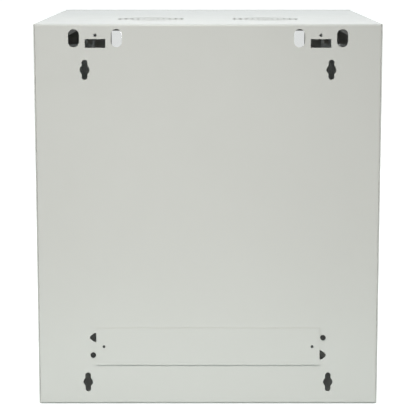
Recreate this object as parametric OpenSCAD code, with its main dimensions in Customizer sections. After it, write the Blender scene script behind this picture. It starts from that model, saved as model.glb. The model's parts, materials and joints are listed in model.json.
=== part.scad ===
// Wall-mounted network rack cabinet for 19-inch equipment, 12 height units, single section.
// Millimetres. X is the width, -Y the glass door, +Y the wall side, Z up.
// The origin is the middle of the base, and left and right are as seen from the door side.

/* [Cabinet] */
// Width over the side panels
cab_w = 570; // [540:5:620]
// Height
cab_h = 640; // [640:1:700]
// Depth from the rear panel to the front of the door
cab_d = 600; // [560:10:700]
// Height of the rack space in units
rack_units = 12; // [6:1:12]

/* [Sheet metal] */
// Thickness of the outer panels
sheet = 1.5; // [1.2:0.1:2]
// Thickness of the frame and the rack rails
frame_t = 2; // [1.5:0.1:2.5]
// Outer radius of the upper bend of the rear panel
bend_r = 4.5; // [2:0.5:5]
// Thickness of a side panel at its folded edges
side_edge = 2.2; // [2:0.1:3]

/* [Rear panel] */
// Distance between the left and right wall keyholes
keyhole_span = 404; // [380:1:420]
// Height of the lower wall keyholes
keyhole_low = 38.5; // [36:0.5:60]
// Distance between the upper and lower wall keyholes
keyhole_rise = 526.5; // [500:0.5:560]
// Diameter of the round middle of a keyhole
keyhole_d = 16; // [14:0.5:20]
// Width of the slot of a keyhole
keyhole_slot = 9.5; // [8:0.5:11]
// Overall height of a keyhole
keyhole_h = 32.8; // [28:0.2:40]
// Distance of the outer long holes from the middle
outer_hole_x = 219.5; // [215:0.5:225]
// Distance of the inner long holes from the middle
inner_hole_x = 149.5; // [140:0.5:155]
// Distance of the long holes from the top
long_hole_drop = 23.4; // [22:0.2:30]
// Width of a long hole
long_hole_w = 17.9; // [14:0.1:18]
// Height of a long hole
long_hole_h = 29.5; // [24:0.5:32]
// Distance of the oblong windows and of the small holes above them from the middle
oblong_x = 184.5; // [180:0.5:188]
// Distance of the oblong windows from the top
oblong_drop = 31.9; // [30:0.1:40]
// Width of an oblong window
oblong_w = 33.6; // [28:0.2:34]
// Height of an oblong window
oblong_h = 14.2; // [10:0.2:16]
// Length of the cover over the rear cable entry
cover_w = 375; // [360:1:380]
// Height of the cover over the rear cable entry
cover_h = 63.4; // [60:0.2:66]
// Height of the middle of the rear cable entry
cover_z = 100.2; // [95:0.2:110]
// How far the cover over the rear cable entry stands out
cover_t = 2.1; // [1.5:0.1:2.5]
// Gap behind the edges of that cover
cover_gap = 0.9; // [0.3:0.1:1.2]
// Height of the set-back edge along the foot of the rear panel
edge_h = 3.4; // [2:0.1:3.5]
// How far that edge is set back
edge_back = 2.8; // [1.5:0.1:3]

/* [Top] */
// Distance of each fan grille from the middle
fan_x = 99.5; // [90:0.5:110]
// Distance of the fan grilles from the rear panel
fan_back = 180; // [150:5:220]
// Diameter of a fan grille
fan_d = 115; // [100:1:118]
// Distance between the screw holes of a fan
fan_pitch = 105; // [104:0.5:106]

/* [Rack rails] */
// Distance between the hole rows of the left and right rails
rail_span = 465.1; // [465.1]
// Clear width between the rails
rail_gap = 445.2; // [440:0.1:450]
// Distance of the front rails from the front of the door
rail_front = 70; // [50:5:120]
// Distance of the rear rails from the rear panel
rail_rear = 120; // [80:10:160]
// Side of a square hole
rack_hole = 9.5; // [9.5]

/* [Door] */
// Width of the window of the door
window_w = 388; // [370:2:400]
// Width of the top and bottom rails of the door
door_rail = 38; // [36:1:44]
// Depth of the door
door_t = 14; // [13:0.5:14]
// Thickness of the glass
glass_t = 4; // [3:0.5:4]
// Height of the door lock
door_lock_z = 320; // [250:5:400]
// Radius of a hinge pin
pin_r = 3; // [2.5:0.1:3]

/* [Locks] */
// Radius of the turning plug of the door lock
lock_r = 6; // [5:0.5:6.5]
// Radius of the turning plug of a side lock
side_lock_r = 5; // [4:0.5:5.5]
// Width of a cam
cam_w = 14; // [10:1:16]
// Thickness of a cam
cam_t = 2; // [1.5:0.5:2.5]

/* [Hidden] */
$fn = 48;
eps = 0.01;
cut = 1;                              // how far a cutting shape reaches past the face that it opens
running = 0.05;                       // radial clearance of a turning fit
loose = 0.3;                          // radial clearance of a screw hole
x_side = cab_w / 2;
x_shell = x_side - side_edge - 0.4;   // edge of the rear, top and bottom panels
x_frame = x_shell - 0.4;              // outer face of the frame
x_web = 240;                          // inner face of the side rails
y_rear = cab_d / 2;
y_front = -cab_d / 2;
y_door = y_front + door_t;            // back of the door
y_body = y_door + 3.5;                // front of the body behind the door
flange = 14;                          // folded edge of the rear panel
fold_room = 5;                        // height that the side rails leave free for the rear panel's folds
lip = 3;                              // hem of the top and bottom panels over the door
side_rail_h = 25.5;
z_low = side_rail_h + sheet;          // top face of the lower side rails
z_high = cab_h - z_low;               // underside of the upper side rails
u = 44.45;                            // one height unit
rack_z = (cab_h - rack_units * u) / 2;
u_holes = [6.35, 22.225, 38.1];
y_rail_front = y_front + rail_front;
y_rail_rear = y_rear - rail_rear;
rail_depth = 28;
rail_x = rail_gap / 2;                // inner edge of a rack rail
rail_out = rail_x + 27.4;             // outer face of a rack rail
foot_w = 18;
foot_gap = 13;                        // gap above and below the face of a rack rail
screw_x = rail_out + 8;               // screws that hold the rack rails
slot_pitch = 60;
slot_l = 46;
door_w = cab_w - 2;
door_z = lip + 1;                     // lower edge of the door
door_top = cab_h - door_z;
hinge_x = -(door_w / 2 - 6);
hinge_y = y_front + 7;
pin_l = 17;                           // length of a hinge pin past the lip
bush_l = 12;
gasket_t = 1;
tape_w = 10;                          // width of the foam tape around the glass
lap = 12;                             // how far the glass reaches behind the door frame
glass_y = y_front + sheet + gasket_t;
glass_x = window_w / 2 + lap;
glass_low = door_z + door_rail - lap;
glass_high = cab_h - glass_low;
clip_w = 20;
clip_t = 1.5;
clip_z = [110, 230, 410, 530];
clip_x = [-110, 110];
lock_x = 232;
sleeve_r = 8.5;                       // threaded sleeve of the door lock
lock_end = y_door + 6;                // rear end of the door lock's sleeve
cam_l = 38;
side_lock_z = z_high - 23;
side_sleeve_r = 8;
side_sleeve = 17;                     // length of a side lock's sleeve behind the panel
side_cam_l = 33;
side_cam_x = x_side - side_sleeve - 0.5 - cam_t;  // inner face of a side lock's cam
skin = 1.2;                           // thickness of a side panel and of the bottom entry cover
side_low = 1;                         // lower and upper edge of a side panel
side_high = cab_h - 0.4;
side_fold = 12;                       // width of a side panel's folded edges
tab_y = [-150, 150];
tab_z = 14;
tab_l = 30;
post_x = 248;                         // inner edge of the front posts
post_d = 20;
rear_post_x = 258;
stiff_out = 276;                      // outer and inner wall of a door stiffener
stiff_in = 246;
stiff_back = y_door - 2.5;
stiff_end = 30;
bush_r = 4.4;
entry_w = 340;
entry_h = 48;
bottom_entry_y = y_rear - 80;
stud_r = 3;
cover_rim = 5;                        // width of the rear entry cover's edges that stand clear
screw_end_x = cover_w / 2 - 12.8;     // screws of the rear entry cover
rivet_x = 193;
rivet_dz = 15;                        // rivets and teardrop holes, above and below the cover's middle
tear_r = 8;
tear_tip_r = 4.75;
bottom_screw_x = cover_w / 2 - 9;
bottom_screw_y = 20;
top_hole_x = 113;
top_hole_back = 62;
grille_step = 10.5;
earth_x = -150;
earth_y = y_body + 45;
nut_r = 5.7;                          // across the corners of an M6 nut
steel = "#c3c6c2";
grey = "#cbcfca";
black = "#202020";

// ---- shapes that repeat ----

function arc(centre, r, from, to, n = 6) =
  [for (i = [0:n]) centre + r * [cos(from + (to - from) * i / n), sin(from + (to - from) * i / n)]];

// A box between two corners
module slab(low, high) {
  translate(low) cube(high - low);
}

// A cylinder along Y from y0 to y1
module rod_y(x, z, r, y0, y1) {
  translate([x, y0, z]) rotate([-90, 0, 0]) cylinder(h = y1 - y0, r = r);
}

// A cylinder along X from x0 to x1
module rod_x(y, z, r, x0, x1) {
  translate([x0, y, z]) rotate([0, 90, 0]) cylinder(h = x1 - x0, r = r);
}

// A cylinder along Z from z0 to z1
module rod_z(x, y, r, z0, z1) {
  translate([x, y, z0]) cylinder(h = z1 - z0, r = r);
}

// An upright long hole through the rear panel
module long_hole(x, z, w, h) {
  reach = h / 2 - w / 2;
  for (s = [-1, 1]) rod_y(x, z + s * reach, w / 2, y_rear - sheet - cut, y_rear + cut);
  slab([x - w / 2, y_rear - sheet - cut, z - reach], [x + w / 2, y_rear + cut, z + reach]);
}

module on_right(right) {
  if (right) mirror([1, 0, 0]) children();
  else children();
}

// ---- body shell ----

// Outline of the rear panel seen from the side: folded inwards at the top, and set back along
// the foot before it folds inwards there
module rear_profile() {
  top = [y_rear - bend_r, cab_h - bend_r];
  y_tip = y_rear - flange;
  y_foot = y_rear - edge_back;
  polygon(concat(
    [[y_tip, 0], [y_foot, 0], [y_foot, edge_h], [y_rear, edge_h]], arc(top, bend_r, 0, 90),
    [[y_tip, cab_h], [y_tip, cab_h - sheet]], arc(top, bend_r - sheet, 90, 0),
    [[y_rear - sheet, edge_h + sheet], [y_foot - sheet, edge_h + sheet], [y_foot - sheet, sheet],
     [y_tip, sheet]]
  ));
}

module rear_hole(x, z, r) {
  rod_y(x, z, r, y_rear - sheet - cut, y_rear + cut);
}

// A rectangular opening through the rear panel
module rear_cutout(x, z, w, h) {
  slab([x - w / 2, y_rear - sheet - cut, z - h / 2], [x + w / 2, y_rear + cut, z + h / 2]);
}

module keyhole(x, z) {
  rear_hole(x, z, keyhole_d / 2);
  long_hole(x, z, keyhole_slot, keyhole_h);
}

// Teardrop hole half hidden by the end of the cover
module cover_end_hole(x, z, side) {
  rear_hole(x, z, tear_r);
  rear_hole(x + side * 5.2, z, tear_tip_r);
}

module rear_panel() color(grey) difference() {
  rotate([90, 0, 90]) linear_extrude(height = 2 * x_shell, center = true) rear_profile();
  for (s = [-1, 1]) {
    for (z = [keyhole_low, keyhole_low + keyhole_rise]) keyhole(s * keyhole_span / 2, z);
    for (x = [outer_hole_x, inner_hole_x])
      long_hole(s * x, cab_h - long_hole_drop, long_hole_w, long_hole_h);
    rear_cutout(s * oblong_x, cab_h - oblong_drop, oblong_w, oblong_h);
    rear_hole(s * oblong_x, cab_h - oblong_drop + 13.4, 2.6);
    rear_hole(s * screw_end_x, cover_z, 1.7);
    rear_hole(s * rivet_x, cover_z - s * rivet_dz, stud_r + 0.1);
    cover_end_hole(s * (cover_w / 2 + 0.6), cover_z + s * rivet_dz, s);
  }
  rear_cutout(0, cover_z, entry_w, entry_h);
}

module fan_grille() {
  difference() {
    for (r = [13:grille_step:fan_d / 2 - 2]) difference() {
      circle(r = r + 2.5);
      circle(r = r - 2.5);
    }
    for (a = [45, 135]) rotate(a) square([fan_d + 2, 7], center = true);
  }
}

module fan_holes() {
  for (s = [-1, 1]) translate([s * fan_x, y_rear - fan_back, cab_h - sheet - cut]) {
    linear_extrude(height = sheet + 2 * cut) fan_grille();
    for (dx = [-1, 1], dy = [-1, 1])
      translate([dx * fan_pitch / 2, dy * fan_pitch / 2, 0]) cylinder(h = sheet + 2 * cut, r = 2.25);
  }
}

// A flat panel with a hem that reaches over the door, between heights z0 and z1
module cap(z0, z1, hem0, hem1) {
  slab([-x_shell, y_body, z0], [x_shell, y_rear - flange - 0.3, z1]);
  slab([-door_w / 2, y_front, hem0], [door_w / 2, y_body, hem1]);
}

module top_panel() color(grey) difference() {
  cap(cab_h - sheet, cab_h, cab_h - lip, cab_h);
  fan_holes();
  for (i = [-1:1]) rod_z(i * top_hole_x, y_rear - top_hole_back, 2, cab_h - sheet - cut, cab_h + cut);
  rod_z(hinge_x, hinge_y, pin_r, cab_h - lip - cut, cab_h + cut);
}

// Places its children at the four screws of the bottom entry cover
module at_bottom_screws() {
  for (sx = [-1, 1], sy = [-1, 1])
    translate([sx * bottom_screw_x, bottom_entry_y + sy * bottom_screw_y, 0]) children();
}

module bottom_panel() color(grey) difference() {
  cap(0, sheet, 0, lip);
  slab([-entry_w / 2, bottom_entry_y - entry_h / 2, -cut],
       [entry_w / 2, bottom_entry_y + entry_h / 2, lip]);
  at_bottom_screws() rod_z(0, 0, 1.7, -cut, lip);
  rod_z(hinge_x, hinge_y, pin_r, -cut, lip + cut);
}

// ---- frame ----

// A channel along the depth, on the left side, with the flange that carries the rack rails
// at the bottom of it. The upper one is this, and the lower one is turned over.
module side_rail_profile() {
  h = side_rail_h;
  difference() {
    translate([-x_frame, 0]) square([x_frame - x_web, h]);
    translate([-x_frame + frame_t, frame_t]) square([x_frame - x_web - 2 * frame_t, h]);
  }
}

module side_rail() {
  y0 = y_body + sheet;
  y1 = y_rear - sheet;
  r = stud_r + loose;
  reach = slot_l / 2 - r;
  difference() {
    translate([0, y1, 0]) rotate([90, 0, 0]) linear_extrude(height = y1 - y0) side_rail_profile();
    for (y = [-3.5 * slot_pitch:slot_pitch:3.5 * slot_pitch]) {
      for (s = [-1, 1]) rod_z(-screw_x, y + s * reach, r, -cut, frame_t + cut);
      slab([-screw_x - r, y - reach, -cut], [-screw_x + r, y + reach, frame_t + cut]);
    }
    // room at the rear for the folded edge of the rear panel
    slab([-x_frame - cut, y_rear - flange - 0.3, side_rail_h + sheet - fold_room],
         [-x_web + cut, y_rear, side_rail_h + cut]);
  }
}

module top_side_rail(right) color(grey) on_right(right) difference() {
  translate([0, 0, z_high]) side_rail();
  // slot that the cam of the side lock swings up through
  slab([-side_cam_x - cam_t, -cam_w, z_high - cut], [-side_cam_x + 4, 30, z_high + frame_t + cut]);
}

module bottom_side_rail(right) color(grey) on_right(right) difference() {
  translate([0, 0, z_low]) mirror([0, 0, 1]) side_rail();
  for (y = tab_y)
    slab([-x_frame - cut, y - tab_l / 2 - 2, tab_z - 2.5],
         [-x_frame + frame_t + cut, y + tab_l / 2 + 2, tab_z + 2.5]);
}

// Front upright behind the door: face, outer wall, and an inner wall that the door's cam locks behind
module front_post(right) color(grey) on_right(right) difference() {
  union() {
    slab([-x_frame, y_body, sheet], [-post_x, y_body + sheet, cab_h - sheet]);
    slab([-x_frame, y_body + sheet, z_low], [-x_frame + sheet, y_body + post_d, z_high]);
    slab([-post_x - sheet, y_body + sheet, z_low], [-post_x, y_body + post_d, z_high]);
  }
  slab([-post_x - sheet - cut, y_body + sheet + eps, door_lock_z - cam_l - 7],
       [-post_x + cut, y_body + 12, door_lock_z + 12]);
}

module rear_post(right) color(grey) on_right(right) {
  y1 = y_rear - sheet;
  slab([-x_frame, y1 - frame_t, z_low], [-rear_post_x, y1, z_high]);
  slab([-x_frame, y1 - 34, z_low], [-x_frame + frame_t, y1 - frame_t, z_high]);
}

module front_bar() {
  slab([-post_x, y_body, 0], [post_x, y_body + sheet, side_rail_h]);
  slab([-x_web, y_body + sheet, 0], [x_web, y_body + post_d, sheet]);
}

module front_top_bar() color(grey) translate([0, 0, z_high]) front_bar();
module front_bottom_bar() color(grey) translate([0, 0, z_low]) mirror([0, 0, 1]) front_bar();

// ---- rack rails ----

// A left front rail whose face lies at y = 0 and whose side wall runs back from it
module rack_rail() {
  difference() {
    union() {
      slab([-rail_out, 0, z_low + foot_gap], [-rail_x, frame_t, z_high - foot_gap]);
      slab([-rail_out, frame_t, z_low], [-rail_out + frame_t, rail_depth, z_high]);
      for (z = [z_low, z_high - frame_t])
        slab([-rail_out - foot_w, frame_t, z], [-rail_out, rail_depth, z + frame_t]);
    }
    for (i = [0:rack_units - 1], h = u_holes)
      translate([-rail_span / 2, 0, rack_z + i * u + h]) cube([rack_hole, 10, rack_hole], center = true);
    rod_z(-screw_x, rail_depth / 2, stud_r + loose, z_low - cut, z_high + cut);
  }
}

module rack_rail_front(right) color(steel) on_right(right)
  translate([0, y_rail_front, 0]) rack_rail();

module rack_rail_rear(right) color(steel) on_right(right)
  translate([0, y_rail_rear, 0]) mirror([0, 1, 0]) rack_rail();

// Places its children at the upper ends of the four rails, and turned over at the lower ends
module at_rail_feet() {
  for (sx = [-1, 1], y = [y_rail_front + rail_depth / 2, y_rail_rear - rail_depth / 2]) {
    translate([sx * screw_x, y, z_high]) children();
    translate([sx * screw_x, y, z_low]) mirror([0, 0, 1]) children();
  }
}

module rail_screws() color("silver") at_rail_feet() {
  rod_z(0, 0, stud_r, -frame_t, frame_t + 7);
  rod_z(0, 0, 5.2, -frame_t - 3.4, -frame_t);
}

module rail_nuts() color("silver") at_rail_feet() translate([0, 0, frame_t]) difference() {
  cylinder(h = 5, r = nut_r, $fn = 6);
  translate([0, 0, -cut]) cylinder(h = 5 + 2 * cut, r = stud_r + running);
}

// ---- cable entries and fixings ----

// Plate with a pressed-in middle, so that only its edges stand clear of the rear panel
module rear_entry_cover() color(grey) difference() {
  union() {
    slab([-cover_w / 2, y_rear + cover_gap, cover_z - cover_h / 2],
         [cover_w / 2, y_rear + cover_t, cover_z + cover_h / 2]);
    slab([-cover_w / 2 + cover_rim, y_rear, cover_z - cover_h / 2 + cover_rim],
         [cover_w / 2 - cover_rim, y_rear + cover_t, cover_z + cover_h / 2 - cover_rim]);
  }
  for (s = [-1, 1]) rod_y(s * screw_end_x, cover_z, 1.7, y_rear - cut, y_rear + cover_t + cut);
}

module rear_cover_screws() color(black) for (s = [-1, 1]) {
  rod_y(s * screw_end_x, cover_z, 1.6, y_rear - 7, y_rear + cover_t);
  rod_y(s * screw_end_x, cover_z, 2.4, y_rear + cover_t, y_rear + cover_t + 0.7);
}

module rear_push_rivets() color(black) for (s = [-1, 1]) {
  rod_y(s * rivet_x, cover_z - s * rivet_dz, stud_r, y_rear - 8, y_rear);
  rod_y(s * rivet_x, cover_z - s * rivet_dz, 4.6, y_rear, y_rear + 2.4);
}

module bottom_entry_cover() color(grey) difference() {
  slab([-cover_w / 2, bottom_entry_y - cover_h / 2, sheet],
       [cover_w / 2, bottom_entry_y + cover_h / 2, sheet + skin]);
  at_bottom_screws() rod_z(0, 0, 1.7, 0, sheet + skin + cut);
}

module bottom_cover_screws() color("silver") at_bottom_screws() {
  rod_z(0, 0, 1.6, 0.3, sheet + skin);
  rod_z(0, 0, 3.2, sheet + skin, sheet + skin + 2);
}

module earth_stud() color("silver") rod_z(earth_x, earth_y, stud_r, sheet, sheet + 16);

module earth_nut() color("silver") translate([earth_x, earth_y, sheet]) difference() {
  union() {
    cylinder(h = 1.6, r = 7);
    translate([0, 0, 1.6]) cylinder(h = 5, r = nut_r, $fn = 6);
  }
  translate([0, 0, -cut]) cylinder(h = 9, r = stud_r + running);
}

// ---- hinge ----

module hinge_pins() color("silver") {
  rod_z(hinge_x, hinge_y, pin_r, 0.2, lip + pin_l);
  rod_z(hinge_x, hinge_y, pin_r, cab_h - lip - pin_l, cab_h - 0.2);
}

module hinge_washers() color("white") for (z = [lip, cab_h - door_z]) difference() {
  rod_z(hinge_x, hinge_y, 5, z, z + 1);
  rod_z(hinge_x, hinge_y, pin_r + running, z - 1, z + 2);
}

// ---- door ----

module door_frame() color(grey) difference() {
  union() {
    difference() {
      slab([-door_w / 2, y_front, door_z], [door_w / 2, y_door, door_top]);
      slab([-door_w / 2 + sheet, y_front + sheet, door_z + sheet],
           [door_w / 2 - sheet, y_door + cut, door_top - sheet]);
    }
    for (s = [-1, 1]) on_right(s > 0)
      slab([-door_w / 2, y_door - sheet, door_z], [-door_w / 2 + 12, y_door, door_top]);
  }
  slab([-window_w / 2, y_front - cut, door_z + door_rail],
       [window_w / 2, y_front + sheet + cut, door_top - door_rail]);
  rod_z(hinge_x, hinge_y, pin_r + running, 0, door_z + sheet + cut);
  rod_z(hinge_x, hinge_y, pin_r + running, door_top - sheet - cut, cab_h);
  rod_y(lock_x, door_lock_z, sleeve_r + 0.1, y_front - cut, y_front + sheet + cut);
}

// Channel along a stile of the door, open towards the door's face
module door_stiffener(right) color(grey) on_right(right) difference() {
  slab([-stiff_out, y_front + sheet, stiff_end], [-stiff_in, stiff_back, cab_h - stiff_end]);
  slab([-stiff_out + sheet, y_front, stiff_end - cut],
       [-stiff_in - sheet, stiff_back - sheet, cab_h - stiff_end + cut]);
}

module door_glass() color("lightblue", 0.3)
  slab([-glass_x, glass_y, glass_low], [glass_x, glass_y + glass_t, glass_high]);

module glass_gasket() color(black) difference() {
  slab([-glass_x, glass_y - gasket_t, glass_low], [glass_x, glass_y, glass_high]);
  slab([-glass_x + tape_w, glass_y - gasket_t - cut, glass_low + tape_w],
       [glass_x - tape_w, glass_y + cut, glass_high - tape_w]);
}

// Places its children, made for the edge of the glass at x = 0 with the glass at -X, along the glass
module around_glass() {
  for (s = [-1, 1]) {
    for (z = clip_z) on_right(s > 0) translate([-glass_x, 0, z]) mirror([1, 0, 0]) children();
    for (x = clip_x)
      translate([x, 0, cab_h / 2 + s * (glass_high - cab_h / 2)]) rotate([0, -s * 90, 0]) children();
  }
}

module glass_clips() color(steel) around_glass() difference() {
  union() {
    slab([0.5, glass_y - gasket_t, -clip_w / 2], [8.5, glass_y + glass_t + clip_t, clip_w / 2]);
    slab([-9, glass_y + glass_t, -clip_w / 2], [0.5, glass_y + glass_t + clip_t, clip_w / 2]);
  }
  rod_y(4.5, 0, 2 + running, y_front, y_door);
}

module clip_screws() color("silver") around_glass() {
  rod_y(4.5, 0, 2, glass_y - gasket_t, glass_y + glass_t + clip_t);
  rod_y(4.5, 0, 3.5, glass_y + glass_t + clip_t, glass_y + glass_t + clip_t + 2);
}

module door_pivot_bushes() color("white")
  for (z = [door_z + sheet, door_top - sheet - bush_l]) difference() {
    rod_z(hinge_x, hinge_y, bush_r, z, z + bush_l);
    rod_z(hinge_x, hinge_y, pin_r + running, z - cut, z + bush_l + cut);
  }

module door_earth_stud() color("silver") rod_y(-180, 17, stud_r, y_front + sheet, y_door - 1);

// ---- door lock ----

module door_lock_barrel() color("silver") difference() {
  union() {
    rod_y(lock_x, door_lock_z, 11, y_front - 2.5, y_front);
    rod_y(lock_x, door_lock_z, sleeve_r, y_front, lock_end);
  }
  rod_y(lock_x, door_lock_z, lock_r + running, y_front - 2.5 - cut, lock_end + cut);
}

module door_lock_nut() color("silver") difference() {
  translate([lock_x, y_front + sheet, door_lock_z]) rotate([-90, 0, 0]) cylinder(h = 4, r = 12.1, $fn = 6);
  rod_y(lock_x, door_lock_z, sleeve_r, y_front, y_front + 9);
}

module door_lock_plug() color("gainsboro") difference() {
  rod_y(lock_x, door_lock_z, lock_r, y_front - 2.2, lock_end + 0.5);
  slab([lock_x - 0.6, y_front - 3, door_lock_z - 3.6], [lock_x + 0.6, y_front + 4, door_lock_z + 3.6]);
}

// Cam hanging down from the plug, clear of the post until the key is turned
module door_lock_cam() color("silver") {
  y0 = lock_end + 0.5;
  rod_y(lock_x, door_lock_z, 9, y0, y0 + cam_t);
  slab([lock_x - cam_w / 2, y0, door_lock_z - cam_l], [lock_x + cam_w / 2, y0 + cam_t, door_lock_z]);
}

module door_cam_screw() color("silver") translate([lock_x, lock_end + 0.5 + cam_t, door_lock_z])
  rotate([-90, 0, 0]) cylinder(h = 3, r = 5.2, $fn = 6);

// ---- side panels and their locks ----

module side_panel(right) color(grey) on_right(right) difference() {
  union() {
    slab([-x_side, y_body, side_low], [-x_side + skin, y_rear, side_high]);
    difference() {
      slab([-x_side + skin, y_body, side_low], [-x_side + side_edge, y_rear, side_high]);
      slab([-x_side, y_body + side_fold, side_low + side_fold],
           [-x_side + side_edge + cut, y_rear - side_fold, side_high - side_fold]);
    }
    for (y = tab_y) {
      slab([-x_side + skin, y - tab_l / 2, tab_z - 1], [-x_frame + 10, y + tab_l / 2, tab_z + 1]);
      slab([-x_side + skin, y - tab_l / 2, side_fold], [-x_side + side_edge, y + tab_l / 2, tab_z + 1]);
    }
  }
  rod_x(0, side_lock_z, side_sleeve_r + 0.1, -x_side - cut, -x_side + side_edge + cut);
}

module side_lock_barrel(right) color("silver") on_right(right) difference() {
  union() {
    rod_x(0, side_lock_z, 9.5, -x_side - 1.8, -x_side);
    rod_x(0, side_lock_z, side_sleeve_r, -x_side, -x_side + side_sleeve);
  }
  rod_x(0, side_lock_z, side_lock_r + running, -x_side - 1.8 - cut, -x_side + side_sleeve + cut);
}

module side_lock_nut(right) color("silver") on_right(right) difference() {
  translate([-x_side + skin, 0, side_lock_z]) rotate([0, 90, 0]) cylinder(h = 4, r = 11.5, $fn = 6);
  rod_x(0, side_lock_z, side_sleeve_r, -x_side, -x_side + 9);
}

module side_lock_plug(right) color("gainsboro") on_right(right) difference() {
  rod_x(0, side_lock_z, side_lock_r, -x_side - 1.5, -x_side + side_sleeve + 0.5);
  slab([-x_side - 3, -0.6, side_lock_z - 3], [-x_side + 4, 0.6, side_lock_z + 3]);
}

// Cam lying towards the wall, below the side rail until the key is turned
module side_lock_cam(right) color("silver") on_right(right) {
  rod_x(0, side_lock_z, side_sleeve_r, -side_cam_x - cam_t, -side_cam_x);
  slab([-side_cam_x - cam_t, 0, side_lock_z - cam_w / 2],
       [-side_cam_x, side_cam_l, side_lock_z + cam_w / 2]);
  translate([-side_cam_x, 0, side_lock_z]) rotate([0, 90, 0]) cylinder(h = 3, r = 4.6, $fn = 6);
}

rear_panel();
top_panel();
bottom_panel();
top_side_rail(false);  // top_side_rail_left
top_side_rail(true);  // top_side_rail_right
bottom_side_rail(false);  // bottom_side_rail_left
bottom_side_rail(true);  // bottom_side_rail_right
front_post(false);  // front_post_left
front_post(true);  // front_post_right
rear_post(false);  // rear_post_left
rear_post(true);  // rear_post_right
front_top_bar();
front_bottom_bar();
rack_rail_front(false);  // rack_rail_front_left
rack_rail_front(true);  // rack_rail_front_right
rack_rail_rear(false);  // rack_rail_rear_left
rack_rail_rear(true);  // rack_rail_rear_right
rail_screws();
rail_nuts();
rear_entry_cover();
rear_cover_screws();
rear_push_rivets();
bottom_entry_cover();
bottom_cover_screws();
hinge_pins();
hinge_washers();
earth_stud();
earth_nut();
door_frame();
door_stiffener(false);  // door_stiffener_left
door_stiffener(true);  // door_stiffener_right
door_glass();
glass_gasket();
glass_clips();
clip_screws();
door_pivot_bushes();
door_earth_stud();
door_lock_barrel();
door_lock_nut();
door_lock_plug();
door_lock_cam();
door_cam_screw();
side_panel(false);  // side_panel_left
side_lock_barrel(false);  // side_lock_barrel_left
side_lock_nut(false);  // side_lock_nut_left
side_lock_plug(false);  // side_lock_plug_left
side_lock_cam(false);  // side_lock_cam_left
side_panel(true);  // side_panel_right
side_lock_barrel(true);  // side_lock_barrel_right
side_lock_nut(true);  // side_lock_nut_right
side_lock_plug(true);  // side_lock_plug_right
side_lock_cam(true);  // side_lock_cam_right
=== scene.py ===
"""Looks of a wall-mounted network rack cabinet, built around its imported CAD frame.

The cabinet stands on the plane z = 0 with its glass door towards -Y and its rear panel towards +Y.
Left and right in the names are as seen from the door side, so the right is +X.
"""
import json
import math

import bmesh
import bpy
from mathutils import Matrix, Vector

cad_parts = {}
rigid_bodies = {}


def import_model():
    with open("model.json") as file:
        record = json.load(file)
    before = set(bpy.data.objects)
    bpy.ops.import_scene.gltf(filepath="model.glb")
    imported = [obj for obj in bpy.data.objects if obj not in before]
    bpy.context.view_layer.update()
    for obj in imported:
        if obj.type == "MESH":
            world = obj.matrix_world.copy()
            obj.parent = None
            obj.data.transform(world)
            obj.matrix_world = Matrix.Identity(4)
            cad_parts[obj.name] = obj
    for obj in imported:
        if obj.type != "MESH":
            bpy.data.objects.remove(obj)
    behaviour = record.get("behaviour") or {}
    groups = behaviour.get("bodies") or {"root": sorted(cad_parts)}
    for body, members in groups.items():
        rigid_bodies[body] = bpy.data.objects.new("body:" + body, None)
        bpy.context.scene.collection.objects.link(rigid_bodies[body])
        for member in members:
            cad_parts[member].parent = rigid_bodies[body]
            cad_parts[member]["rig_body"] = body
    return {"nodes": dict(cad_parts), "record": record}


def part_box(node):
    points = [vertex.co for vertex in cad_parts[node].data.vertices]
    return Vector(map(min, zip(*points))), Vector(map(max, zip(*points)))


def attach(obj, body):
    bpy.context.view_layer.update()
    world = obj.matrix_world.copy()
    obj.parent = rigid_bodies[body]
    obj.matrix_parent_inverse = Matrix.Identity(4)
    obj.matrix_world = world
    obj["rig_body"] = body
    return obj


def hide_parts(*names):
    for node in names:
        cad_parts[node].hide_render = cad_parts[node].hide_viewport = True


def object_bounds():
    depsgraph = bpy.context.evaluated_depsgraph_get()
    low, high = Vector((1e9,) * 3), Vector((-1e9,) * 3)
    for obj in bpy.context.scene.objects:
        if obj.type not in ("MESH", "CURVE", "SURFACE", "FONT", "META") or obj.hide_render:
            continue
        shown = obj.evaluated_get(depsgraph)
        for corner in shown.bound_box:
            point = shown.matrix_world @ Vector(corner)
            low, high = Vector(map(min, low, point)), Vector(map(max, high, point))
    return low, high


MM = 0.001
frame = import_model()
cad_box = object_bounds()
NODES = frame["nodes"]


# ---------------------------------------------------------------- node trees

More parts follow.
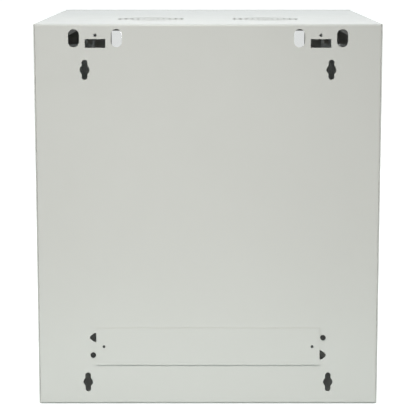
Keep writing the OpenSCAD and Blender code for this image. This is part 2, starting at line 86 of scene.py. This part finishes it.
class Tree:
    """A short way to write a material's node tree."""

    def __init__(self, name):
        self.material = bpy.data.materials.new(name)
        self.material.use_nodes = True
        self.nodes = self.material.node_tree.nodes
        self.links = self.material.node_tree.links
        self.nodes.clear()
        self.output = self.nodes.new("ShaderNodeOutputMaterial")
        self.shader = self.nodes.new("ShaderNodeBsdfPrincipled")
        self.links.new(self.shader.outputs["BSDF"], self.output.inputs["Surface"])
        self.place = self.nodes.new("ShaderNodeTexCoord").outputs["Object"]

    def set(self, **sockets):
        """Uniform values, straight on the shader's own sockets."""
        for name, value in sockets.items():
            self.shader.inputs[name.replace("_", " ")].default_value = value

    def link(self, source, socket):
        self.links.new(source, self.shader.inputs[socket])

    def stretch(self, scale):
        mapping = self.nodes.new("ShaderNodeMapping")
        mapping.inputs["Scale"].default_value = scale
        self.links.new(self.place, mapping.inputs["Vector"])
        return mapping.outputs["Vector"]

    def noise(self, scale, detail=3.0, rough=0.5, place=None):
        node = self.nodes.new("ShaderNodeTexNoise")
        node.inputs["Scale"].default_value = scale
        node.inputs["Detail"].default_value = detail
        node.inputs["Roughness"].default_value = rough
        self.links.new(place or self.place, node.inputs["Vector"])
        return node.outputs["Fac"]

    def cells(self, scale):
        node = self.nodes.new("ShaderNodeTexVoronoi")
        node.inputs["Scale"].default_value = scale
        self.links.new(self.place, node.inputs["Vector"])
        return node.outputs["Distance"]

    def ramp(self, source, *stops):
        """Maps a number to another through (position, value) stops."""
        node = self.nodes.new("ShaderNodeValToRGB")
        while len(node.color_ramp.elements) < len(stops):
            node.color_ramp.elements.new(0.5)
        for element, (position, value) in zip(node.color_ramp.elements, stops):
            element.position = position
            element.color = (value, value, value, 1)
        self.links.new(source, node.inputs["Fac"])
        return node.outputs["Color"]

    def mix(self, factor, a, b):
        """Mixes two colours, each a socket or a colour."""
        node = self.nodes.new("ShaderNodeMix")
        node.data_type = "RGBA"
        for value, socket in ((factor, node.inputs[0]), (a, node.inputs[6]), (b, node.inputs[7])):
            if isinstance(value, bpy.types.NodeSocket):
                self.links.new(value, socket)
            else:
                socket.default_value = value
        return node.outputs[2]

    def math(self, operation, a, b):
        node = self.nodes.new("ShaderNodeMath")
        node.operation = operation
        for value, socket in ((a, node.inputs[0]), (b, node.inputs[1])):
            if isinstance(value, bpy.types.NodeSocket):
                self.links.new(value, socket)
            else:
                socket.default_value = value
        return node.outputs[0]

    def edges(self, low=0.52, high=0.60):
        """Near 1 on convex edges, 0 on faces."""
        geometry = self.nodes.new("ShaderNodeNewGeometry")
        return self.ramp(geometry.outputs["Pointiness"], (low, 0.0), (high, 1.0))

    def bump(self, height, distance, strength=1.0, under=None):
        node = self.nodes.new("ShaderNodeBump")
        node.inputs["Distance"].default_value = distance
        node.inputs["Strength"].default_value = strength
        self.links.new(height, node.inputs["Height"])
        if under:
            self.links.new(under, node.inputs["Normal"])
        return node.outputs["Normal"]


def grey(r, g, b):
    return (r, g, b, 1.0)


# ---------------------------------------------------------------- materials

def powder_coat(name, base, light, dark):
    """Light grey textured powder coat: fine orange peel, slow cloudy tone and a fine paler speck."""
    t = Tree(name)
    cloud = t.ramp(t.noise(5.5, 4, 0.55), (0.3, 0.0), (0.7, 1.0))
    tone = t.mix(cloud, dark, base)
    speck = t.ramp(t.noise(1900, 2, 0.6), (0.60, 0.0), (0.72, 1.0))
    tone = t.mix(t.math("MULTIPLY", speck, 0.35), tone, light)
    t.link(tone, "Base Color")
    rough = t.ramp(t.noise(38, 5, 0.6), (0.3, 0.43), (0.7, 0.53))
    t.link(rough, "Roughness")
    peel = t.bump(t.noise(620, 2, 0.45), 0.05 * MM, 0.55)
    t.link(t.bump(t.cells(1500), 0.02 * MM, 0.4, peel), "Normal")
    t.set(Specular_IOR_Level=0.45)
    return t.material


def zinc_plate(name, base, pale, streak=(1, 1, 60)):
    """Zinc-plated strip: rolling marks along the strip, faint crystal clouding."""
    t = Tree(name)
    spangle = t.ramp(t.cells(210), (0.0, 0.0), (0.75, 1.0))
    cloud = t.noise(14, 4, 0.6)
    tone = t.mix(spangle, base, pale)
    tone = t.mix(t.math("MULTIPLY", cloud, 0.4), tone, base)
    t.link(tone, "Base Color")
    lines = t.noise(900, 3, 0.6, t.stretch(streak))
    t.link(t.ramp(lines, (0.3, 0.28), (0.7, 0.46)), "Roughness")
    t.link(t.bump(lines, 0.01 * MM, 0.5), "Normal")
    t.set(Metallic=1.0)
    return t.material


def nickel(name):
    """Nickel-plated die casting, polished, with hairlines and slight cloudiness."""
    t = Tree(name)
    tone = t.mix(t.noise(300, 3), grey(0.60, 0.59, 0.56), grey(0.72, 0.71, 0.68))
    tone = t.mix(t.math("MULTIPLY", t.edges(0.51, 0.58), 0.6), tone, grey(0.85, 0.84, 0.81))
    t.link(tone, "Base Color")
    hair = t.noise(2600, 2, 0.5, t.stretch((1, 0.05, 1)))
    t.link(t.ramp(hair, (0.3, 0.14), (0.7, 0.3)), "Roughness")
    t.link(t.bump(hair, 0.005 * MM, 0.4), "Normal")
    t.set(Metallic=1.0)
    return t.material


def black_polymer(name, base, pale, rough):
    """Matt black moulded plastic or oxide finish with a fine spark-eroded grain."""
    t = Tree(name)
    tone = t.mix(t.ramp(t.noise(900, 3), (0.35, 0.0), (0.7, 1.0)), base, pale)
    tone = t.mix(t.math("MULTIPLY", t.edges(), 0.5), tone, pale)
    t.link(tone, "Base Color")
    t.link(t.ramp(t.noise(1400, 3), (0.3, rough - 0.07), (0.7, rough + 0.08)), "Roughness")
    t.link(t.bump(t.noise(2400, 2), 0.02 * MM, 0.6), "Normal")
    t.set(Specular_IOR_Level=0.3)
    return t.material


def natural_nylon(name):
    t = Tree(name)
    t.link(t.mix(t.noise(400, 3), grey(0.68, 0.67, 0.60), grey(0.80, 0.79, 0.73)), "Base Color")
    t.link(t.ramp(t.noise(700, 3), (0.3, 0.38), (0.7, 0.5)), "Roughness")
    t.link(t.bump(t.noise(1800, 2), 0.01 * MM, 0.5), "Normal")
    t.set(Subsurface_Weight=0.1, Subsurface_Scale=0.001)
    return t.material


def toughened_glass(name):
    """Clear soda-lime glass with a slight grey tint and barely visible roller waves."""
    t = Tree(name)
    t.set(Base_Color=grey(0.731, 0.723, 0.73), Roughness=0.0, IOR=1.5, Transmission_Weight=1.0)
    t.link(t.bump(t.noise(9, 1, 0.4), 0.05 * MM, 0.1), "Normal")
    return t.material


COAT = powder_coat("light_grey_powder_coat", grey(0.525, 0.53, 0.502), grey(0.57, 0.575, 0.55),
                   grey(0.515, 0.52, 0.492))
RAIL_ZINC = zinc_plate("zinc_plated_rail", grey(0.44, 0.46, 0.46), grey(0.58, 0.60, 0.60))
CLIP_ZINC = zinc_plate("zinc_plated", grey(0.46, 0.48, 0.48), grey(0.60, 0.62, 0.61), (1, 60, 1))
FASTENER = zinc_plate("zinc_fastener", grey(0.52, 0.54, 0.54), grey(0.70, 0.72, 0.71), (60, 60, 1))
LOCK = nickel("lock_nickel")
BLACK_STEEL = black_polymer("black_steel", grey(0.012, 0.012, 0.012), grey(0.045, 0.045, 0.045), 0.42)
BLACK_PLASTIC = black_polymer("black_plastic", grey(0.007, 0.007, 0.006), grey(0.02, 0.02, 0.019), 0.5)
FOAM = black_polymer("gasket_rubber", grey(0.016, 0.016, 0.016), grey(0.05, 0.05, 0.05), 0.82)
NYLON = natural_nylon("nylon")
GLASS = toughened_glass("tinted_glass")
SLOTS = {
    "light_grey_powder_coat": COAT, "zinc_plated_rail": RAIL_ZINC, "zinc_plated": CLIP_ZINC,
    "zinc_fastener": FASTENER, "lock_nickel": LOCK, "black_steel": BLACK_STEEL,
    "black_plastic": BLACK_PLASTIC, "gasket_rubber": FOAM, "nylon": NYLON, "tinted_glass": GLASS,
}


def paint(obj, material):
    obj.data.materials.clear()
    obj.data.materials.append(material)


SLOT_OF = {s["node"]: s["material_slot"] for s in frame["record"]["subparts"]}
for name, node in NODES.items():
    paint(node, SLOTS[SLOT_OF[name]])


# ---------------------------------------------------------------- mesh tools

def to_mesh(bm, name="shape"):
    mesh = bpy.data.meshes.new(name)
    bm.to_mesh(mesh)
    bm.free()
    return mesh


def fillet(points, radius, closed=False, steps=4):
    """The outline with its corners rounded."""
    rounded = []
    for i, point in enumerate(points):
        if not closed and i in (0, len(points) - 1):
            rounded.append(point)
            continue
        corner = Vector(point)
        back = Vector(points[i - 1]) - corner
        ahead = Vector(points[(i + 1) % len(points)]) - corner
        reach = min(radius / math.tan(back.angle(ahead) / 2), 0.45 * back.length, 0.45 * ahead.length)
        start, end = corner + back.normalized() * reach, corner + ahead.normalized() * reach
        for k in range(steps + 1):
            t = k / steps
            rounded.append(tuple((1 - t) ** 2 * start + 2 * t * (1 - t) * corner + t * t * end))
    return rounded


def lathe(outline, steps=48):
    """Turns an outline of (radius, height) points, in millimetres, about Z."""
    bm = bmesh.new()
    points = [bm.verts.new((r * MM, 0, z * MM)) for r, z in outline]
    lines = [bm.edges.new(pair) for pair in zip(points, points[1:])]
    bmesh.ops.spin(bm, geom=points + lines, cent=(0, 0, 0), axis=(0, 0, 1), angle=2 * math.pi,
                   steps=steps)
    bmesh.ops.remove_doubles(bm, verts=bm.verts, dist=1e-7)
    bmesh.ops.dissolve_degenerate(bm, edges=bm.edges, dist=1e-7)
    bmesh.ops.recalc_face_normals(bm, faces=bm.faces)
    return to_mesh(bm)


def ring(outline, steps=48):
    """Turns a closed outline that stays clear of the axis."""
    return lathe(outline + [outline[0]], steps)


def threaded(r, length, pitch, steps=24):
    """A threaded rod that stands on z = 0 with its crests on radius r, run out at both ends.

    Millimetres. The thread is 0.55 pitch deep, and the ends are turned down a little further.
    """
    bm = bmesh.new()
    rows = round(length / pitch * 6)
    rings = []
    for i in range(rows + 1):
        z = length * i / rows
        end = min(1.0, z / pitch, (length - z) / pitch)
        turn = []
        for k in range(steps):
            groove = abs(2 * ((z / pitch - k / steps) % 1) - 1)
            radius = r - pitch * (0.55 * groove * end + 0.6 * (1 - end))
            angle = 2 * math.pi * k / steps
            point = Vector((radius * math.cos(angle), radius * math.sin(angle), z))
            turn.append(bm.verts.new(point * MM))
        rings.append(turn)
    for lower, upper in zip(rings, rings[1:]):
        for k in range(steps):
            bm.faces.new((lower[k - 1], lower[k], upper[k], upper[k - 1]))
    bm.faces.new(reversed(rings[0]))
    bm.faces.new(rings[-1])
    return to_mesh(bm)


def wedge(low, high, taper=1.0):
    """A block between two corners, in millimetres, whose underside is narrowed by taper."""
    bm = bmesh.new()
    bmesh.ops.create_cube(bm, size=1)
    for vert in bm.verts:
        narrow = taper if vert.co.z < 0 else 1.0
        unit = Vector((vert.co.x * narrow, vert.co.y * narrow, vert.co.z)) + Vector((0.5, 0.5, 0.5))
        vert.co = Vector(lo + (hi - lo) * t for lo, hi, t in zip(low, high, unit)) * MM
    return to_mesh(bm)


def prism(sides, r, low, high):
    """A prism along Z with its corners on radius r. Millimetres."""
    bm = bmesh.new()
    bmesh.ops.create_cone(bm, cap_ends=True, segments=sides, radius1=r * MM, radius2=r * MM,
                          depth=(high - low) * MM)
    bmesh.ops.translate(bm, verts=bm.verts, vec=(0, 0, (high + low) / 2 * MM))
    return to_mesh(bm)


def carve(mesh, cutter, operation="DIFFERENCE"):
    """The mesh after a boolean with the cutter."""
    pair = [bpy.data.objects.new("carving", m) for m in (mesh, cutter)]
    for obj in pair:
        bpy.context.scene.collection.objects.link(obj)
    modifier = pair[0].modifiers.new("carve", "BOOLEAN")
    modifier.operation = operation
    modifier.solver = "EXACT"
    modifier.object = pair[1]
    bpy.context.view_layer.update()
    view = bpy.context.evaluated_depsgraph_get()
    result = bpy.data.meshes.new_from_object(pair[0].evaluated_get(view))
    for obj in pair:
        bpy.data.objects.remove(obj)
    return result


def stand(mesh, at, axis=(0, 0, 1), spin=0.0):
    """A copy of the mesh with its Z axis turned to axis and its origin at a point in metres."""
    copy = mesh.copy()
    turn = Vector((0, 0, 1)).rotation_difference(Vector(axis)).to_matrix().to_4x4()
    copy.transform(Matrix.Translation(at) @ turn @ Matrix.Rotation(spin, 4, "Z"))
    return copy


def joined(meshes):
    bm = bmesh.new()
    for mesh in meshes:
        bm.from_mesh(mesh)
    return to_mesh(bm)


def solids(node):
    """The lowest and highest corners of each separate solid of a CAD node."""
    bm = bmesh.new()
    bm.from_mesh(NODES[node].data)
    bmesh.ops.remove_doubles(bm, verts=bm.verts, dist=1e-6)
    left, boxes = set(bm.verts), []
    while left:
        island, front = set(), [left.pop()]
        while front:
            vert = front.pop()
            island.add(vert)
            near = {e.other_vert(vert) for e in vert.link_edges} & left
            left -= near
            front += near
        corners = [v.co for v in island]
        boxes.append([Vector(pick(c[i] for c in corners) for i in range(3))
                      for pick in (min, max)])
    bm.free()
    return sorted(boxes, key=lambda box: tuple(round(c, 4) for c in box[0]))


# ---------------------------------------------------------------- pieces that stand for CAD nodes

def link_piece(name, mesh, node):
    """A new piece that stands for a CAD node, rides on its body and keeps its finish."""
    piece = bpy.data.objects.new(name, mesh)
    bpy.context.scene.collection.objects.link(piece)
    paint(piece, SLOTS[SLOT_OF[node]])
    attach(piece, NODES[node]["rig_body"])
    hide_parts(node)
    return piece


def small_part(name, meshes, node):
    """A turned or moulded part: smooth, with its sharp edges kept."""
    mesh = joined(meshes)
    mesh.shade_smooth()
    mesh.set_sharp_from_angle(angle=math.radians(32))
    return link_piece(name, mesh, node)


def smooth_bends(mesh):
    """Smooth shading on bends and round edges only, so that the flat sheet stays flat."""
    for face in mesh.polygons:
        face.use_smooth = max(abs(c) for c in face.normal) < 0.9999


def bevel(bm, width, segments, wanted=None):
    sharp = [e for e in bm.edges
             if len(e.link_faces) == 2 and e.calc_face_angle(0) > math.radians(40)]
    chosen = [e for e in sharp if not wanted or wanted(e)]
    bmesh.ops.bevel(bm, geom=chosen, offset=width, segments=segments, profile=0.5, affect="EDGES",
                    clamp_overlap=True)


def soften(node, width, bend=0.0, is_bend=None, segments=2):
    """The CAD node's sheet metal with its cut edges rounded, as cutting and coating leave them.

    is_bend(edge) picks the folded edges, which get the bigger radius bend.
    """
    bm = bmesh.new()
    bm.from_mesh(NODES[node].data)
    bmesh.ops.remove_doubles(bm, verts=bm.verts, dist=1e-6)
    bmesh.ops.dissolve_limit(bm, angle_limit=math.radians(0.5), verts=bm.verts, edges=bm.edges)
    if is_bend:
        bevel(bm, bend * MM, 4, is_bend)
    bevel(bm, width * MM, segments)
    mesh = to_mesh(bm, node + "_shape")
    for attribute in list(mesh.attributes):
        if attribute.name in ("custom_normal", "sharp_edge", "sharp_face"):
            mesh.attributes.remove(attribute)
    smooth_bends(mesh)
    return link_piece(node + "_shell", mesh, node)


def along(axis, **where):
    """Picks edges along an axis that lie on given coordinates, each a list of places in metres."""
    index = "xyz".index(axis)

    def wanted(edge):
        a, b = (v.co for v in edge.verts)
        if abs((b - a).normalized()[index]) < 0.99:
            return False
        return all(min(abs(a["xyz".index(name)] - place) for place in places) < 1e-5
                   for name, places in where.items())
    return wanted


def either(*tests):
    return lambda edge: any(test(edge) for test in tests)


def sheet_metal():
    """Body panels, frame, rack rails and door sheet."""
    for node in ("rear_panel", "rear_entry_cover", "bottom_entry_cover"):
        soften(node, 0.25)
    for node in ("top_panel", "bottom_panel"):
        low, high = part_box(node)
        face = high.z if node == "top_panel" else low.z
        soften(node, 0.25, 1.2, along("x", y=[low.y], z=[face]))
    low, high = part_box("door_frame")
    outline = either(along("z", x=[low.x, high.x], y=[low.y]),
                     along("x", y=[low.y], z=[low.z, high.z]))
    soften("door_frame", 0.25, 1.4, outline)
    for side, out in (("left", -1), ("right", 1)):
        low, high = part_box("side_panel_" + side)
        face = low.x if out < 0 else high.x
        outline = either(along("z", x=[face], y=[low.y, high.y]),
                         along("y", x=[face], z=[low.z, high.z]))
        soften("side_panel_" + side, 0.2, 1.2, outline)
        for name in ("top_side_rail_", "bottom_side_rail_"):
            low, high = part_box(name + side)
            shelf = low.z if name.startswith("top") else high.z
            soften(name + side, 0.25, 2.0, along("y", x=[low.x, high.x], z=[shelf]))
        low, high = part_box("front_post_" + side)
        soften("front_post_" + side, 0.25, 1.5, along("z", x=[low.x, high.x], y=[low.y]))
        soften("rear_post_" + side, 0.25)
        low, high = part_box("door_stiffener_" + side)
        soften("door_stiffener_" + side, 0.2, 1.5, along("z", x=[low.x, high.x], y=[high.y]))
        for name in ("rack_rail_front_", "rack_rail_rear_"):
            soften(name + side, 0.2)
    for node in ("front_top_bar", "front_bottom_bar", "glass_clips"):
        soften(node, 0.2)
    for side in ("left", "right"):
        soften("side_lock_cam_" + side, 0.3)
    soften("door_lock_cam", 0.3)


def glazing():
    """Glass with ground edges on its foam tape."""
    soften("door_glass", 0.6, segments=1)
    soften("glass_gasket", 0.3, segments=3)


def pan_head(r, height, recess):
    """Screw head on the plane z = 0 with a cross recess in its crown. Millimetres."""
    side = 0.35 * height
    angles = [math.radians(9 * k) for k in range(10)]
    crown = [(r * math.cos(a), side + (height - side) * math.sin(a)) for a in angles]
    head = lathe([(0, 0), (r, 0), (r, 0.1)] + crown + [(0, height)])
    half = 0.2 * recess
    bar = wedge((-recess, -half, 0.25 * height), (recess, half, height + 0.5), 0.5)
    for turn in (0, math.pi / 2):
        head = carve(head, stand(bar, (0, 0, 0), spin=turn))
    return head


def foot(low, high):
    """The middle of a box's underside."""
    return ((low.x + high.x) / 2, (low.y + high.y) / 2, low.z)


def screws(name, node, axis, head_r, head_h, shank_r, pitch, recess):
    """Cross-recess screws in place of each solid of a CAD node, with their heads towards axis.

    axis is a function of the solid's box, or one direction for all.
    """
    head = pan_head(head_r, head_h, recess)
    parts = []
    for low, high in solids(node):
        out = Vector(axis(low, high) if callable(axis) else axis)
        middle, size = (low + high) / 2, high - low
        length = abs(size.dot(out)) / MM
        tip = middle - out * length / 2 * MM
        shank = threaded(shank_r, length - head_h * 0.98, pitch)
        parts += [stand(shank, tip, out), stand(head, tip + out * (length - head_h) * MM, out)]
    small_part(name, parts, node)


def hex_nut(r, height, bore, washer_r=0.0, washer_h=0.0):
    """A chamfered hexagon nut on the plane z = 0, with a washer under it if washer_r is given."""
    low, high = washer_h, washer_h + height
    flat, slope = 0.9 * r, 0.12 * r
    dome = lathe([(0, low), (flat, low), (1.01 * r, low + slope),
                  (1.01 * r, high - slope), (flat, high), (0, high)])
    nut = carve(prism(6, r, low, high), dome, "INTERSECT")
    mouth = bore + 0.5
    hole = lathe([(0, low - 0.1), (mouth, low - 0.1), (bore, low + 0.5),
                  (bore, high - 0.5), (mouth, high + 0.1), (0, high + 0.1)])
    parts = [carve(nut, hole)]
    if washer_r:
        washer = [(bore + 0.2, 0), (washer_r, 0), (washer_r, low), (bore + 0.2, low)]
        parts.append(ring(fillet(washer, 0.3, True)))
    return joined(parts)


def push_rivets():
    """Moulded rivets beside the rear cover: a domed head with its driven pin in the middle."""
    parts = []
    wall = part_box("rear_panel")[1].y
    for low, high in solids("rear_push_rivets"):
        middle = (low + high) / 2
        r = (high.x - low.x) / 2 / MM
        tip, crown = (low.y - wall) / MM, (high.y - wall) / MM
        shank = [(1.6, tip), (2.9, tip + 2.2), (2.6, tip + 5.5), (2.6, 0)]
        dome = [(r, 0), (r, 0.9), (r - 0.7, 1.9), (2.3, crown)]
        pin = [(2.2, 1.4), (2.0, 1.4), (1.9, crown - 0.1), (0, crown)]
        outline = [(0, tip)] + fillet(shank + dome + pin, 0.25)
        parts.append(stand(lathe(outline), (middle.x, wall, middle.z), (0, 1, 0)))
    small_part("push_rivet_pair", parts, "rear_push_rivets")


M3, M4, M6 = 1.55, 1.95, 2.95  # radii of the threads' crests


def fasteners():
    """Screws, nuts and studs with real threads and recesses."""
    screws("cover_screw_pair", "rear_cover_screws", (0, 1, 0),
           head_r=2.4, head_h=0.7, shank_r=M3, pitch=0.6, recess=1.1)
    screws("bottom_cover_screw_set", "bottom_cover_screws", (0, 0, 1),
           head_r=3.2, head_h=2.0, shank_r=M3, pitch=0.6, recess=1.7)
    screws("clip_screw_set", "clip_screws", (0, 1, 0),
           head_r=3.5, head_h=2.0, shank_r=M4, pitch=0.7, recess=1.8)
    middle = (cad_box[0].z + cad_box[1].z) / 2
    screws("rail_screw_set", "rail_screws", lambda low, high: (0, 0, 1 if high.z < middle else -1),
           head_r=5.2, head_h=3.4, shank_r=M6, pitch=1.0, recess=2.9)
    nut = hex_nut(5.7, 5, 2.6)
    nuts = [stand(nut, foot(low, high)) for low, high in solids("rail_nuts")]
    small_part("rail_nut_set", nuts, "rail_nuts")
    nut = hex_nut(5.7, 5, 2.6, washer_r=7, washer_h=1.6)
    small_part("earth_nut_and_washer", [stand(nut, foot(*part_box("earth_nut")))], "earth_nut")
    low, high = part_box("earth_stud")
    rod = threaded(M6, (high.z - low.z) / MM, 1.0)
    small_part("earth_bolt", [stand(rod, foot(low, high))], "earth_stud")
    low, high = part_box("door_earth_stud")
    rod = threaded(M6, (high.y - low.y) / MM, 1.0)
    place = ((low.x + high.x) / 2, low.y, (low.z + high.z) / 2)
    small_part("door_earth_bolt", [stand(rod, place, (0, 1, 0))], "door_earth_stud")


def hinge_parts():
    """Hinge pins, their washers and the bushes in the door."""
    bore = 3.05
    for node, edge in (("hinge_pins", 0.8), ("hinge_washers", 0.25), ("door_pivot_bushes", 0.6)):
        parts = []
        for low, high in solids(node):
            r, length = (high.x - low.x) / 2 / MM, (high.z - low.z) / MM
            if node == "hinge_pins":
                mesh = lathe(fillet([(0, 0), (r, 0), (r, length), (0, length)], edge))
            else:
                mesh = ring(fillet([(bore, 0), (r, 0), (r, length), (bore, length)], edge, True))
            parts.append(stand(mesh, foot(low, high)))
        small_part(node + "_turned", parts, node)


def cam_lock(prefix, suffix, axis, keyway):
    """Bezel and sleeve, nut, and keyed plug of one cam lock whose face looks towards axis.

    keyway is the width of the key's slot.
    """
    out = Vector(axis)
    size = {}
    for part in ("barrel", "nut", "plug"):
        low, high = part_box(prefix + "_" + part + suffix)
        middle = (low + high) / 2
        length = abs((high - low).dot(out)) / MM
        size[part] = (middle - out * length / 2 * MM, length, (high.z - low.z) / 2 / MM)
    tip, length, rim = size["barrel"]
    plug_tip, plug_length, plug_r = size["plug"]
    nut_tip, nut_length, _ = size["nut"]
    bore = plug_r + 0.05
    big = prefix == "door_lock"
    collar, bezel_h, nut_r = (2.5, 2.5, 12.1) if big else (1.5, 1.8, 11.5)
    sleeve, core = rim - collar, length - bezel_h
    hollow = lathe([(0, -1), (bore, -1), (bore, core + 1), (0, core + 1)])
    threads = carve(threaded(sleeve, core + 0.4, 1.0, 48), hollow)
    outside = [(rim, core), (rim, core + 0.45 * bezel_h), (rim - 0.8, length)]
    inside = [(bore + 0.6, length), (bore, length - 0.5)]
    bezel = ring(fillet([(bore, core)] + outside + inside, 0.35, True))
    small_part(prefix + "_bezel_and_sleeve" + suffix, [stand(m, tip, out) for m in (threads, bezel)],
               prefix + "_barrel" + suffix)
    nut = stand(hex_nut(nut_r, nut_length, sleeve - 0.3), nut_tip, out)
    small_part(prefix + "_hexagon_nut" + suffix, [nut], prefix + "_nut" + suffix)
    top, dish = plug_length, plug_length - 0.35
    plug = lathe(fillet([(0, 0), (plug_r, 0), (plug_r, top), (plug_r - 1.6, top),
                         (plug_r - 2.0, dish), (0, dish)], 0.3))
    half, bottom = keyway / 2, top - 6
    slot = wedge((-half, -0.6, bottom), (half, 0.6, top + 1))
    step = wedge((half * 0.2, -1.0, bottom), (half * 0.75, 0.2, top + 1))
    spin = 0 if suffix else math.pi / 2
    plug = stand(carve(carve(plug, slot), step), plug_tip, out, spin)
    small_part(prefix + "_keyed_plug" + suffix, [plug], prefix + "_plug" + suffix)


def locks():
    cam_lock("door_lock", "", (0, -1, 0), 7.2)
    cam_lock("side_lock", "_left", (-1, 0, 0), 6.0)
    cam_lock("side_lock", "_right", (1, 0, 0), 6.0)
    low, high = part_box("door_cam_screw")
    middle = (low + high) / 2
    r, height = 5.2, 3
    dome = lathe([(0, 0), (r - 0.3, 0), (r, 0.3), (r, height - 0.6), (r - 0.7, height), (0, height)])
    bolt = carve(prism(6, r, 0, height), dome, "INTERSECT")
    place = (middle.x, low.y, middle.z)
    small_part("door_cam_bolt", [stand(bolt, place, (0, 1, 0))], "door_cam_screw")


sheet_metal()
glazing()
push_rivets()
fasteners()
hinge_parts()
locks()


# ---------------------------------------------------------------- stage, light and camera

def stage_floor():
    """A white floor that turns up into a low round wall far from the cabinet on every side."""
    reach, rise, lean, bend, gap = 24000, 4500, 500, 800, 0.2
    cove = lathe(fillet([(0, 0), (reach, 0), (reach + lean, rise)], bend), 64)
    cove.shade_smooth()
    floor = bpy.data.objects.new("floor", cove)
    floor.location.z = cad_box[0].z - gap * MM
    floor.visible_diffuse = False  # seen white, but its glow doesn't light the cabinet
    bpy.context.scene.collection.objects.link(floor)
    t = Tree("floor")
    t.set(Base_Color=grey(0.3, 0.3, 0.3), Roughness=0.9, Specular_IOR_Level=0.1,
          Emission_Color=grey(0.965, 1, 0.985), Emission_Strength=1.0)
    paint(floor, t.material)


def softbox(name, place, target, size, power, colour, spread=180):
    """A rectangular light that faces target and that the camera doesn't see."""
    light = bpy.data.lights.new(name, "AREA")
    light.shape = "RECTANGLE"
    light.size, light.size_y = size
    light.energy = power
    light.color = colour
    light.spread = math.radians(spread)
    obj = bpy.data.objects.new(name, light)
    obj.location = place
    obj.rotation_euler = (Vector(target) - Vector(place)).to_track_quat("-Z", "Y").to_euler()
    obj.visible_camera = False
    bpy.context.scene.collection.objects.link(obj)


def studio():
    """Softboxes round the cabinet, with places and sizes in metres, and an even, weak fill.

    The steep narrow one above the rear draws the dark lines under the rear cover and along the
    foot. The low one behind the foot brings the last of its light up the lower half of the rear.
    """
    world = bpy.data.worlds.new("studio")
    world.use_nodes = True
    background = world.node_tree.nodes["Background"]
    background.inputs["Color"].default_value = (1, 1, 1, 1)
    background.inputs["Strength"].default_value = 0.2
    bpy.context.scene.world = world
    softbox("high_rear", (0.3, 2.9, 3.3), (0.03, 0.3, -0.35), (0.9, 0.6), 9.0, (1.0, 0.99, 0.965),
            spread=41)
    softbox("level_rear", (0.4, 3.4, 0.45), (0, 0.3, 0.3), (1.4, 0.9), 24, (0.98, 1.0, 0.975))
    softbox("low_rear", (0.1, 0.55, 0.02), (0.1, 0.3, 0.02), (1.6, 0.04), 0.4, (0.8, 1.0, 0.99))
    softbox("top", (0, -0.5, 3.2), (0, -0.2, 0.6), (2.0, 2.0), 40, (0.84, 0.92, 1.0))
    softbox("front", (-0.3, -2.6, 2.5), (0, -0.3, 0.35), (2.4, 1.2), 38, (0.96, 0.985, 1.0))
    for side in (-1, 1):
        softbox("side_%d" % side, (side * 2.8, -0.9, 0.8), (side * 0.285, -0.1, 0.3), (1.4, 1.6),
                36, (1.0, 0.99, 0.975))


def photo_camera():
    """Behind the cabinet and a little above its top, with a long lens tilted slightly down."""
    rear, distance, height, tilt = 0.3, 2.55, 0.761, 8.7
    data = bpy.data.cameras.new("camera")
    data.sensor_width = 36
    data.lens = 134.9
    data.shift_y = -0.05
    data.clip_end = 100
    camera = bpy.data.objects.new("camera", data)
    camera.location = (0, rear + distance, height)
    camera.rotation_euler = (math.radians(90 - tilt), 0, math.radians(180))
    bpy.context.scene.collection.objects.link(camera)
    bpy.context.scene.camera = camera


stage_floor()
studio()
photo_camera()
bpy.context.scene.view_settings.view_transform = "Standard"
